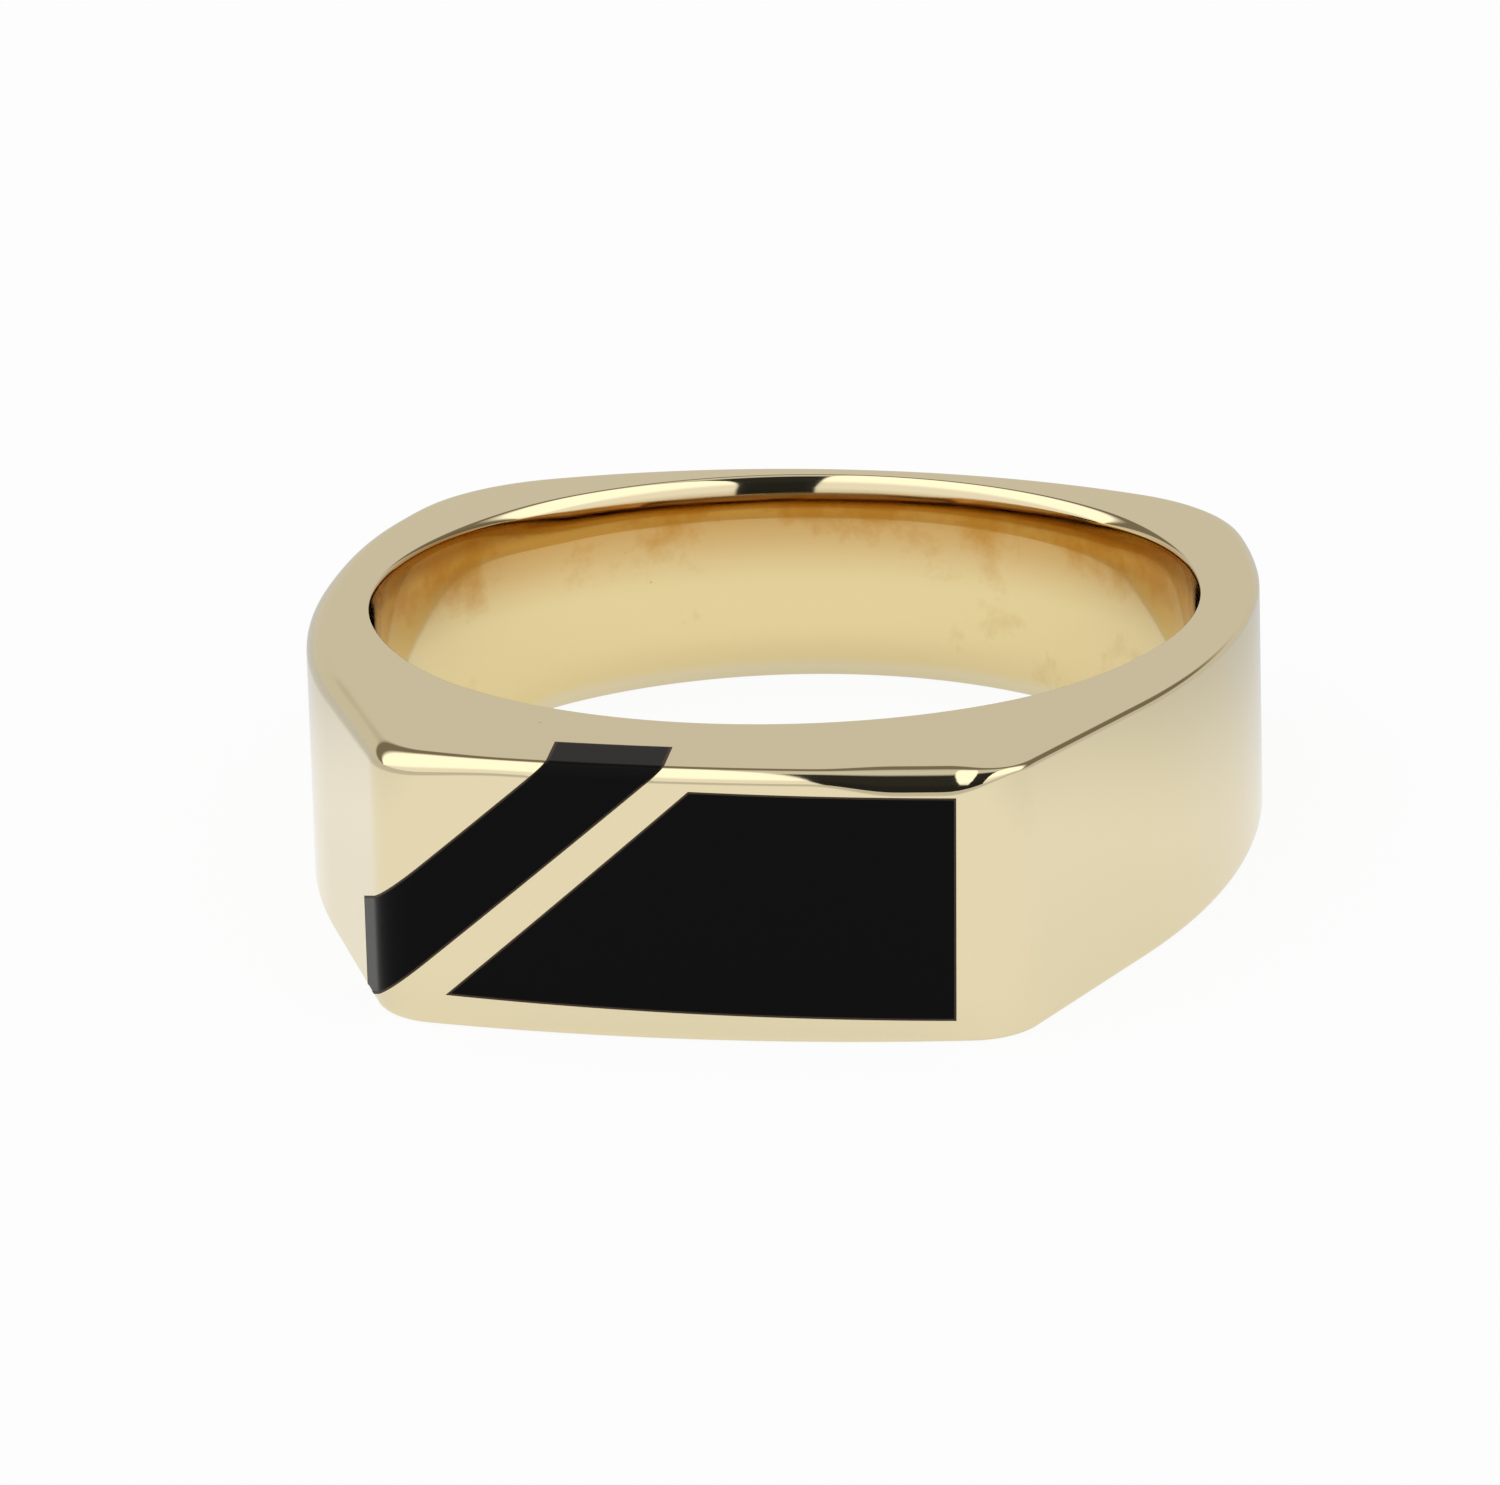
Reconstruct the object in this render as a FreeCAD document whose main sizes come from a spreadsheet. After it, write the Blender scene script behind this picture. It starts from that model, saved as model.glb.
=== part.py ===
"""Signet ring: a one-piece gold casting with two flush inlays of black stone.

The ring lies on its side. +Z is the finger hole's axis, the flat table faces -Y, and the origin is the
middle of the finger hole. Lengths are in millimetres and angles in degrees.
"""
import FreeCAD, Part
import math
import os
import Sketcher

doc = FreeCAD.newDocument("signet_ring")
V = FreeCAD.Vector


# Driving dimensions

sizes = doc.addObject("Spreadsheet::Sheet", "sizes")
DRIVING = (
    ("bore_diameter", 19.8, "finger hole, a US size 10"),
    ("head_thickness", 3.88, "metal between the finger hole and the middle of the table"),
    ("table_radius", 43.0, "gentle bow of the table, seen from the side face"),
    ("shoulder_angle", 23.3, "lean of the straight shoulders from the front-to-back line"),
    ("corner_radius", 1.8, "soft upright corners between table and shoulders"),
    ("side_wall", 1.43, "wall at the widest point of each side"),
    ("side_radius", 19.6, "long bow of each side of the band"),
    ("hip_radius", 5.0, "rounded rear corners of the band"),
    ("back_wall", 1.0, "wall at the middle of the back"),
    ("back_radius", 19.2, "bow of the back of the band"),
    ("middle_height", 5.83, "height between the side faces at the hole axis"),
    ("side_taper", 1.684, "lean of each side face, so that the head is the tallest part"),
    ("edge_round", 0.25, "softening of the upper outer edges"),
    ("edge_break", 0.1, "small bevel along the lower outer edges"),
    ("table_edge_round", 0.5, "stronger softening of the table's upper edge"),
    ("rim_round", 0.3, "comfort rounding of the finger hole's rims"),
    ("rim_runout", 0.015, "how far inside the hole's wall the rims' rounding would end"),
    ("strip_angle", 41.3, "slope of the diagonal strip across the table"),
    ("strip_width", 1.74, "width of the strip, square to its slope"),
    ("strip_centre", 5.78, "table's middle to the strip's centre line, along the table"),
    ("strip_thickness", 1.7, "depth of the strip stone"),
    ("bar_width", 0.93, "gold left standing between the two stones"),
    ("field_angle", 42.0, "slope of the large stone's diagonal side"),
    ("field_side", 6.04, "table's middle to the large stone's upright side"),
    ("field_top", 2.76, "mid-plane to the large stone's upper side, at the table's middle"),
    ("field_bottom", 2.6, "mid-plane to the large stone's lower side, at the table's middle"),
    ("field_tilt", 1.1, "small turn of the hand-cut stone on the table"),
    ("field_thickness", 1.2, "depth of the large stone"),
    ("cement_gap", 0.05, "cement between each stone and its seat"),
)
for row, (alias, value, meaning) in enumerate(DRIVING, start=1):
    sizes.set(f"A{row}", meaning)
    sizes.set(f"B{row}", str(value))
    sizes.setAlias(f"B{row}", alias)
doc.recompute()


def size(alias):
    """The sheet's value for one alias, as a plain number."""
    return float(sizes.get(alias))


def reach(wall):
    """From the finger hole's axis to the outside of one wall."""
    return size("bore_diameter") / 2 + size(wall)


def reach_text(wall):
    return f"(sizes.bore_diameter / 2 + sizes.{wall})"


# Small helpers for sketches and features

def make_body(label):
    body = doc.addObject("PartDesign::Body", label)
    body.Label = label
    return body


def sketch_on(body, role, label):
    """A new sketch on one of the body's own origin planes."""
    sketch = body.newObject("Sketcher::SketchObject", label)
    plane = next(p for p in body.Origin.OriginFeatures if p.Role == role)
    sketch.AttachmentSupport = [(plane, "")]
    sketch.MapMode = "FlatFace"
    return sketch


def bind(sketch, name, constraint, expression):
    """Adds a constraint, names it and drives it from the sheet."""
    index = sketch.addConstraint(constraint)
    sketch.renameConstraint(index, name)
    sketch.setExpression(f"Constraints.{name}", expression)


def add_arc(sketch, centre, radius, start, end):
    """An arc from start to end, counted in degrees against the clock."""
    circle = Part.Circle(V(centre[0], centre[1], 0), V(0, 0, 1), radius)
    return sketch.addGeometry(Part.ArcOfCircle(circle, math.radians(start), math.radians(end)), False)


def add_line(sketch, start, end):
    return sketch.addGeometry(Part.LineSegment(V(start[0], start[1], 0), V(end[0], end[1], 0)), False)


def add_polygon(sketch, points):
    """A closed loop of straight lines, joined end to end."""
    lines = [add_line(sketch, p, q) for p, q in zip(points, points[1:] + points[:1])]
    for this, following in zip(lines, lines[1:] + lines[:1]):
        sketch.addConstraint(Sketcher.Constraint("Coincident", this, END, following, START))
    return lines


START, END, CENTRE = range(1, 4)
X_AXIS, Y_AXIS = range(-1, -3, -1)
ORIGIN_POINT = (X_AXIS, START)


# The outline of the ring in plan

def shoulder_normal():
    """The way out of the right shoulder, square to it."""
    lean = math.radians(size("shoulder_angle"))
    return V(math.cos(lean), -math.sin(lean), 0)


def outline_guess():
    """First places for the outline's centres and tangent points, which the constraints then hold."""
    table_centre = (0, size("table_radius") - reach("head_thickness"))
    side_centre = (reach("side_wall") - size("side_radius"), 0)
    back_centre = (0, reach("back_wall") - size("back_radius"))
    normal = shoulder_normal()

    inner_line = V(*side_centre, 0) + normal * (size("side_radius") - size("corner_radius"))
    along = V(-normal.y, normal.x, 0)
    to_line = inner_line - V(*table_centre, 0)
    corner_reach = size("table_radius") - size("corner_radius")
    across = to_line.dot(normal)
    corner_centre = V(*table_centre, 0) + normal * across - along * math.sqrt(corner_reach**2 - across**2)
    table_end = math.degrees(math.atan2(corner_centre.y - table_centre[1], corner_centre.x))

    side_arm = size("side_radius") - size("hip_radius")
    back_arm = size("back_radius") - size("hip_radius")
    gap = V(*back_centre, 0) - V(*side_centre, 0)
    run = (side_arm**2 - back_arm**2 + gap.Length**2) / (2 * gap.Length)
    rise = math.sqrt(side_arm**2 - run**2)
    unit = gap / gap.Length
    hip_centre = V(*side_centre, 0) + unit * run + V(-unit.y, unit.x, 0) * rise
    side_end = math.degrees(math.atan2(hip_centre.y, hip_centre.x - side_centre[0]))
    back_start = math.degrees(math.atan2(hip_centre.y - back_centre[1], hip_centre.x))
    return table_centre, table_end, corner_centre, side_centre, side_end, hip_centre, back_centre, back_start


def draw_outline(sketch):
    """Table, corners, shoulders, sides, hips and back, each tangent to the next."""
    lean = size("shoulder_angle")
    table_centre, table_end, corner, side, side_end, hip, back, back_start = outline_guess()
    foot = corner + shoulder_normal() * size("corner_radius")
    top = V(*side, 0) + shoulder_normal() * size("side_radius")

    table_left = add_arc(sketch, table_centre, size("table_radius"), -180 - table_end, -90)
    table_right = add_arc(sketch, table_centre, size("table_radius"), -90, table_end)
    corner_right = add_arc(sketch, corner, size("corner_radius"), table_end, -lean)
    shoulder_right = add_line(sketch, foot, top)
    side_right = add_arc(sketch, side, size("side_radius"), -lean, side_end)
    hip_right = add_arc(sketch, hip, size("hip_radius"), side_end, back_start)
    back_arc = add_arc(sketch, back, size("back_radius"), back_start, 180 - back_start)
    hip_left = add_arc(sketch, (-hip.x, hip.y), size("hip_radius"), 180 - back_start, 180 - side_end)
    side_left = add_arc(sketch, (-side[0], 0), size("side_radius"), 180 - side_end, 180 + lean)
    shoulder_left = add_line(sketch, (-foot.x, foot.y), (-top.x, top.y))
    corner_left = add_arc(sketch, (-corner.x, corner.y), size("corner_radius"), 180 + lean, 180 - table_end)

    smooth_joints = (
        (table_right, END, corner_right, START),
        (corner_right, END, shoulder_right, START),
        (shoulder_right, END, side_right, START),
        (side_right, END, hip_right, START),
        (hip_right, END, back_arc, START),
        (back_arc, END, hip_left, START),
        (hip_left, END, side_left, START),
        (side_left, END, shoulder_left, END),
        (shoulder_left, START, corner_left, START),
        (corner_left, END, table_left, START),
    )
    for joint in smooth_joints:
        sketch.addConstraint(Sketcher.Constraint("Tangent", *joint))
    sketch.addConstraint(Sketcher.Constraint("Coincident", table_left, END, table_right, START))
    sketch.addConstraint(Sketcher.Constraint("Coincident", table_left, CENTRE, table_right, CENTRE))
    sketch.addConstraint(Sketcher.Constraint("PointOnObject", table_left, END, Y_AXIS))
    sketch.addConstraint(Sketcher.Constraint("PointOnObject", table_left, CENTRE, Y_AXIS))
    sketch.addConstraint(Sketcher.Constraint("PointOnObject", back_arc, CENTRE, Y_AXIS))
    sketch.addConstraint(Sketcher.Constraint("PointOnObject", side_right, CENTRE, X_AXIS))
    sketch.addConstraint(Sketcher.Constraint("PointOnObject", side_left, CENTRE, X_AXIS))

    bind(sketch, "table_bow", Sketcher.Constraint("Radius", table_left, size("table_radius")),
         "sizes.table_radius")
    bind(sketch, "table_place", Sketcher.Constraint("DistanceY", *ORIGIN_POINT, table_left, CENTRE,
         table_centre[1]), f"sizes.table_radius - {reach_text('head_thickness')}")
    bind(sketch, "back_bow", Sketcher.Constraint("Radius", back_arc, size("back_radius")),
         "sizes.back_radius")
    bind(sketch, "back_place", Sketcher.Constraint("DistanceY", back_arc, CENTRE, *ORIGIN_POINT,
         -back[1]), f"sizes.back_radius - {reach_text('back_wall')}")
    for hand, corner_arc, side_arc, hip_arc in (
            ("right", corner_right, side_right, hip_right),
            ("left", corner_left, side_left, hip_left)):
        bind(sketch, f"corner_{hand}", Sketcher.Constraint("Radius", corner_arc, size("corner_radius")),
             "sizes.corner_radius")
        bind(sketch, f"side_bow_{hand}", Sketcher.Constraint("Radius", side_arc, size("side_radius")),
             "sizes.side_radius")
        bind(sketch, f"hip_{hand}", Sketcher.Constraint("Radius", hip_arc, size("hip_radius")),
             "sizes.hip_radius")
    bind(sketch, "lean_right", Sketcher.Constraint("Angle", shoulder_right, math.radians(90 - lean)),
         "90 - sizes.shoulder_angle")
    bind(sketch, "lean_left", Sketcher.Constraint("Angle", shoulder_left, math.radians(90 + lean)),
         "90 + sizes.shoulder_angle")
    bind(sketch, "side_place_right", Sketcher.Constraint("DistanceX", side_right, CENTRE, *ORIGIN_POINT,
         -side[0]), f"sizes.side_radius - {reach_text('side_wall')}")
    bind(sketch, "side_place_left", Sketcher.Constraint("DistanceX", *ORIGIN_POINT, side_left, CENTRE,
         -side[0]), f"sizes.side_radius - {reach_text('side_wall')}")


def check_sketch(sketch):
    """Stops the build if a sketch is over- or under-constrained."""
    if sketch.solve() != 0:
        raise RuntimeError(f"sketch {sketch.Label} can't be solved")
    print(f"sketch {sketch.Label}: fully constrained {sketch.FullyConstrained}")


# The outer form of the casting, before the seats for the stones are cut

def extrude(body, kind, profile, label):
    """A Pad or Pocket, the same distance both ways from its sketch."""
    feature = body.newObject(f"PartDesign::{kind}", label)
    feature.Profile = profile
    feature.SideType = "Symmetric"
    if kind == "Pocket":
        feature.Type = "ThroughAll"
    profile.Visibility = False
    return feature


def bind_height(sketch, name, point, up, height, expression):
    """Holds a point at a height over the mid-plane, or under it where up is -1."""
    points = (*ORIGIN_POINT, *point) if up > 0 else (*point, *ORIGIN_POINT)
    bind(sketch, name, Sketcher.Constraint("DistanceY", *points, height), expression)


def waste_above_and_below(sketch):
    """Two four-sided areas, over and under the tapered side faces."""
    far_out = reach("head_thickness") + reach("back_wall")
    slope = math.tan(math.radians(size("side_taper")))
    half = size("middle_height") / 2
    front, back, outside = (half + slope * far_out, half - slope * far_out, 2 * half + slope * far_out)
    far_text = f"({reach_text('head_thickness')} + {reach_text('back_wall')})"
    rise_text = f"tan(sizes.side_taper) * {far_text}"
    for hand, up in (("upper", 1), ("lower", -1)):
        corners = [(-far_out, up * front), (far_out, up * back), (far_out, up * outside),
                   (-far_out, up * outside)]
        face, back_side, top, front_side = add_polygon(sketch, corners)
        sketch.addConstraint(Sketcher.Constraint("Vertical", back_side))
        sketch.addConstraint(Sketcher.Constraint("Vertical", front_side))
        sketch.addConstraint(Sketcher.Constraint("Horizontal", top))
        bind(sketch, f"{hand}_front", Sketcher.Constraint("DistanceX", face, START, *ORIGIN_POINT, far_out),
             far_text)
        bind(sketch, f"{hand}_back", Sketcher.Constraint("DistanceX", *ORIGIN_POINT, face, END, far_out),
             far_text)
        bind_height(sketch, f"{hand}_front_height", (face, START), up, front,
                    f"sizes.middle_height / 2 + {rise_text}")
        bind_height(sketch, f"{hand}_back_height", (face, END), up, back,
                    f"sizes.middle_height / 2 - {rise_text}")
        bind_height(sketch, f"{hand}_outside", (top, START), up, outside,
                    f"sizes.middle_height + {rise_text}")


def rim_softening():
    """The rims' rounding, held to the thinnest wall beside them."""
    return min(size("rim_round"), size("back_wall") / 3, size("side_wall") / 3)


def rim_profile(sketch):
    """The waste outside a quarter round on the hole's rim, with the side face as the level line."""
    rounding = rim_softening()
    rounding_text = "min(sizes.rim_round; sizes.back_wall / 3; sizes.side_wall / 3)"
    centre_x = size("bore_diameter") / 2 - size("rim_runout") + rounding
    inside = centre_x - 2 * rounding
    quarter = add_arc(sketch, (centre_x, -rounding), rounding, 90, 180)
    corners = [(centre_x - rounding, -rounding), (inside, -rounding), (inside, rounding),
               (centre_x, rounding), (centre_x, 0)]
    sole, inner, lid, outer = (add_line(sketch, p, q) for p, q in zip(corners, corners[1:]))
    for first, second in ((quarter, sole), (sole, inner), (inner, lid), (lid, outer)):
        sketch.addConstraint(Sketcher.Constraint("Coincident", first, END, second, START))
    sketch.addConstraint(Sketcher.Constraint("Coincident", outer, END, quarter, START))
    for line, way in ((sole, "Horizontal"), (inner, "Vertical"), (lid, "Horizontal"), (outer, "Vertical")):
        sketch.addConstraint(Sketcher.Constraint(way, line))
    sketch.addConstraint(Sketcher.Constraint("Vertical", quarter, START, quarter, CENTRE))
    sketch.addConstraint(Sketcher.Constraint("Horizontal", quarter, END, quarter, CENTRE))
    bind(sketch, "rounding", Sketcher.Constraint("Radius", quarter, rounding), rounding_text)
    bind(sketch, "level", Sketcher.Constraint("DistanceY", quarter, CENTRE, *ORIGIN_POINT, rounding),
         rounding_text)
    bind(sketch, "place", Sketcher.Constraint("DistanceX", *ORIGIN_POINT, quarter, CENTRE, centre_x),
         f"sizes.bore_diameter / 2 - sizes.rim_runout + {rounding_text}")
    bind(sketch, "run", Sketcher.Constraint("DistanceX", sole, END, sole, START, rounding), rounding_text)
    bind(sketch, "rise", Sketcher.Constraint("DistanceY", inner, START, inner, END, 2 * rounding),
         f"2 * {rounding_text}")


def make_tapered_body():
    """The plan outline, raised, cut to the tapered height and bored for the finger."""
    body = make_body("tapered_form")
    outline = sketch_on(body, "XY_Plane", "plan_outline")
    draw_outline(outline)
    check_sketch(outline)
    raised = extrude(body, "Pad", outline, "raised_outline")
    raised.setExpression("Length", "2 * sizes.middle_height")

    waste = sketch_on(body, "YZ_Plane", "height_waste")
    waste_above_and_below(waste)
    check_sketch(waste)
    extrude(body, "Pocket", waste, "taper_cut")

    hole = sketch_on(body, "XY_Plane", "finger_hole")
    circle = hole.addGeometry(Part.Circle(V(0, 0, 0), V(0, 0, 1), size("bore_diameter") / 2), False)
    hole.addConstraint(Sketcher.Constraint("Coincident", circle, CENTRE, *ORIGIN_POINT))
    bind(hole, "bore", Sketcher.Constraint("Diameter", circle, size("bore_diameter")), "sizes.bore_diameter")
    check_sketch(hole)
    extrude(body, "Pocket", hole, "bore_cut")

    profile = sketch_on(body, "YZ_Plane", "rim_profile")
    profile.setExpression("AttachmentOffset.Base.y", "sizes.middle_height / 2")
    profile.AttachmentOffset.Rotation = FreeCAD.Rotation(V(0, 0, 1), -size("side_taper"))
    profile.setExpression("AttachmentOffset.Rotation.Angle", "-sizes.side_taper")
    rim_profile(profile)
    check_sketch(profile)
    doc.recompute()
    rim = body.newObject("PartDesign::Groove", "upper_rim")
    rim.Profile = profile
    rim.ReferenceAxis = (profile, ["V_Axis"])
    doc.recompute()
    both_rims = body.newObject("PartDesign::Mirrored", "both_rims")
    both_rims.Originals = [rim]
    both_rims.MirrorPlane = (next(p for p in body.Origin.OriginFeatures if p.Role == "XY_Plane"), [""])
    body.Tip = both_rims
    doc.recompute()
    return body


# Edge softening, strongest along the table's upper edge

def edge_middle(edge):
    return edge.valueAt((edge.FirstParameter + edge.LastParameter) / 2)


def outer_edges(shape, above):
    """The edges between the outside wall and the upper or the lower side face, with their numbers."""
    rim_end = (size("bore_diameter") + min(size("back_wall"), size("side_wall"))) / 2
    for index, edge in enumerate(shape.Edges, start=1):
        ends = [vertex.Point for vertex in (edge.firstVertex(), edge.lastVertex())]
        upright = abs(ends[0].z - ends[1].z) > size("middle_height") / 2
        middle = edge_middle(edge)
        if not upright and math.hypot(middle.x, middle.y) > rim_end and (middle.z > 0) == above:
            yield index, ends, middle


def upper_rounds(shape):
    """The upper edges, each with its radius at its two ends.

    The table's upper edge and corners are the softest. Along the shoulders the softening fades out.
    No softening takes more than its share of the wall behind it.
    """
    fine = min(size("edge_round"), size("back_wall") / 3, size("side_wall") / 3)
    soft = min(size("table_edge_round"), size("head_thickness") / 3)
    rounds = []
    for index, ends, middle in outer_edges(shape, above=True):
        radii = [fine, fine]
        if middle.y < 0:
            radii = [soft if end.y < -size("bore_diameter") / 2 else fine for end in ends]
        rounds.append((index, *radii))
    return rounds


def lower_bevels(shape):
    """The lower edges, each with the same small bevel on both faces."""
    bevel = min(size("edge_break"), size("back_wall") / 3, size("side_wall") / 3)
    return [(index, bevel, bevel) for index, ends, middle in outer_edges(shape, above=False)]


def make_blank():
    form = make_tapered_body()
    rounded = doc.addObject("Part::Fillet", "rounded_form")
    rounded.Base = form
    rounded.Edges = upper_rounds(form.Shape)
    doc.recompute()
    blank = doc.addObject("Part::Chamfer", "casting_blank")
    blank.Base = rounded
    blank.Edges = lower_bevels(rounded.Shape)
    doc.recompute()
    return blank


# The forms of the stones and of their seats, seen from the front of the table

def gap_size(gap):
    return size(gap) if gap else 0


def gap_text(gap):
    return f"sizes.{gap}" if gap else "0"


def strip_outline(sketch, gap):
    """A slanted four-sided band across the whole height, widened all round by the gap."""
    angle = math.radians(size("strip_angle"))
    tall = size("middle_height")
    half = (size("strip_width") / 2 + gap_size(gap)) / math.sin(angle)
    shift = tall / math.tan(angle)
    left = -size("strip_centre") - half
    corners = [(left - shift, -tall), (left + shift, tall), (left + shift + 2 * half, tall),
               (left - shift + 2 * half, -tall)]
    long_left, upper_end, long_right, lower_end = add_polygon(sketch, corners)
    half_text = f"(sizes.strip_width / 2 + {gap_text(gap)}) / sin(sizes.strip_angle)"
    shift_text = "sizes.middle_height / tan(sizes.strip_angle)"
    sketch.addConstraint(Sketcher.Constraint("Horizontal", upper_end))
    sketch.addConstraint(Sketcher.Constraint("Horizontal", lower_end))
    sketch.addConstraint(Sketcher.Constraint("Parallel", long_left, long_right))
    bind(sketch, "slope", Sketcher.Constraint("Angle", long_left, angle), "sizes.strip_angle")
    bind(sketch, "upper", Sketcher.Constraint("DistanceY", *ORIGIN_POINT, upper_end, START, tall),
         "sizes.middle_height")
    bind(sketch, "lower", Sketcher.Constraint("DistanceY", lower_end, START, *ORIGIN_POINT, tall),
         "sizes.middle_height")
    bind(sketch, "across", Sketcher.Constraint("DistanceX", upper_end, START, upper_end, END, 2 * half),
         f"2 * {half_text}")
    bind(sketch, "place", Sketcher.Constraint("DistanceX", long_left, START, *ORIGIN_POINT, -corners[0][0]),
         f"sizes.strip_centre + {half_text} + {shift_text}")


def field_outline(sketch, gap):
    """A slab with one slanted side, parallel to nothing else, widened all round by the gap."""
    tilt = math.radians(size("field_tilt"))
    slope = math.radians(size("field_angle"))
    strip = math.radians(size("strip_angle"))
    extra = gap_size(gap)
    above = size("field_top") * math.cos(tilt) + extra
    below = size("field_bottom") * math.cos(tilt) + extra
    beside = size("field_side") * math.cos(tilt) + extra
    strip_edge = size("strip_centre") - size("strip_width") / 2 / math.sin(strip)
    slant = strip_edge * math.sin(slope) - size("bar_width") + extra

    def crossing(first, second):
        """Where two lines meet, each given by its outward angle and its distance from the origin."""
        (a, p), (b, q) = first, second
        across = math.sin(b - a)
        return ((p * math.sin(b) - q * math.sin(a)) / across, (q * math.cos(a) - p * math.cos(b)) / across)

    quarter = math.pi / 2
    top, right = (quarter - tilt, above), (-tilt, beside)
    bottom, diagonal = (-quarter - tilt, below), (quarter + slope, slant)
    corners = [crossing(bottom, diagonal), crossing(diagonal, top), crossing(top, right),
               crossing(right, bottom)]
    slant_side, upper, upright, lower = add_polygon(sketch, corners)
    sketch.addConstraint(Sketcher.Constraint("Perpendicular", upper, upright))
    sketch.addConstraint(Sketcher.Constraint("Parallel", upper, lower))
    bind(sketch, "slope", Sketcher.Constraint("Angle", slant_side, slope), "sizes.field_angle")
    bind(sketch, "tilt", Sketcher.Constraint("Angle", upper, -tilt), "-sizes.field_tilt")
    widen = gap_text(gap)
    bind(sketch, "above", Sketcher.Constraint("Distance", *ORIGIN_POINT, upper, above),
         f"sizes.field_top * cos(sizes.field_tilt) + {widen}")
    bind(sketch, "below", Sketcher.Constraint("Distance", *ORIGIN_POINT, lower, below),
         f"sizes.field_bottom * cos(sizes.field_tilt) + {widen}")
    bind(sketch, "beside", Sketcher.Constraint("Distance", *ORIGIN_POINT, upright, beside),
         f"sizes.field_side * cos(sizes.field_tilt) + {widen}")
    bind(sketch, "bar_side", Sketcher.Constraint("Distance", *ORIGIN_POINT, slant_side, slant),
         "(sizes.strip_centre - sizes.strip_width / 2 / sin(sizes.strip_angle))"
         f" * sin(sizes.field_angle) - sizes.bar_width + {widen}")


def make_inlay_form(label, draw, thickness, gap):
    """A prism through the table whose back is bowed like the table, one thickness behind it."""
    body = make_body(label)
    front = sketch_on(body, "XZ_Plane", f"{label}_front")
    draw(front, gap)
    check_sketch(front)
    prism = extrude(body, "Pad", front, f"{label}_prism")
    prism.setExpression("Length", f"3 * {reach_text('head_thickness')}")

    back = sketch_on(body, "XY_Plane", f"{label}_back")
    centre = V(0, size("table_radius") - reach("head_thickness"), 0)
    radius = size("table_radius") - size(thickness) - gap_size(gap)
    circle = back.addGeometry(Part.Circle(centre, V(0, 0, 1), radius), False)
    back.addConstraint(Sketcher.Constraint("PointOnObject", circle, CENTRE, Y_AXIS))
    bind(back, "bow_centre", Sketcher.Constraint("DistanceY", *ORIGIN_POINT, circle, CENTRE, centre.y),
         f"sizes.table_radius - {reach_text('head_thickness')}")
    bind(back, "bow", Sketcher.Constraint("Radius", circle, radius),
         f"sizes.table_radius - sizes.{thickness} - {gap_text(gap)}")
    check_sketch(back)
    extrude(body, "Pocket", back, f"{label}_back_cut")
    body.Visibility = False
    return body


def combine(kind, label, base, tool):
    """A Common, Cut or Fuse of two objects."""
    result = doc.addObject(f"Part::{kind}", label)
    result.Label = label
    result.Base = base
    result.Tool = tool
    return result


# The five pieces, all cut from the same outer form, so that they finish flush

blank = make_blank()
strip_form = make_inlay_form("strip_form", strip_outline, "strip_thickness", None)
field_form = make_inlay_form("field_form", field_outline, "field_thickness", None)
channel_form = make_inlay_form("channel_form", strip_outline, "strip_thickness", "cement_gap")
pocket_form = make_inlay_form("pocket_form", field_outline, "field_thickness", "cement_gap")

strip_stone = combine("Common", "strip_stone", blank, strip_form)
field_stone = combine("Common", "field_stone", blank, field_form)
channelled = combine("Cut", "channelled_casting", blank, channel_form)
ring_body = combine("Cut", "ring_body", channelled, pocket_form)
channel_fill = combine("Common", "channel_fill", blank, channel_form)
pocket_fill = combine("Common", "pocket_fill", blank, pocket_form)
strip_cement = combine("Cut", "strip_cement", channel_fill, strip_stone)
field_cement = combine("Cut", "field_cement", pocket_fill, field_stone)
doc.recompute()

PIECES = (ring_body, strip_stone, field_stone, strip_cement, field_cement)


# Checks, then one file for each piece

for item in doc.Objects:
    if "Invalid" in item.State or "Error" in item.State:
        raise RuntimeError(f"{item.Label} failed to build: {item.State}")
for piece in PIECES:
    if piece.Shape.isNull() or not piece.Shape.isValid():
        raise RuntimeError(f"{piece.Label} has no valid shape")
    if len(piece.Shape.Solids) != 1:
        raise RuntimeError(f"{piece.Label} has {len(piece.Shape.Solids)} solids, not one")

os.makedirs("parts", exist_ok=True)
for piece in PIECES:
    piece.Shape.exportStep(f"parts/{piece.Label}.step")
    box = piece.Shape.optimalBoundingBox()
    print(f"{piece.Label}: volume {piece.Shape.Volume:.3f} mm3, "
          f"box {box.XLength:.2f} x {box.YLength:.2f} x {box.ZLength:.2f} mm")
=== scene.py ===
# %% [markdown]
# # A gold signet ring with two black inlays
#
# The ring is one solid gold casting, filed and polished by hand, with a diagonal strip and a large field of
# black onyx let into its flat table. It lies on its side on a white floor. Everything here is in metres, in
# the same frame as the solid model: +Z is the axis of the finger hole and the table faces -Y.

# %% Load the solid model
import bpy
import bmesh
import math
from mathutils import Matrix, Vector


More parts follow.
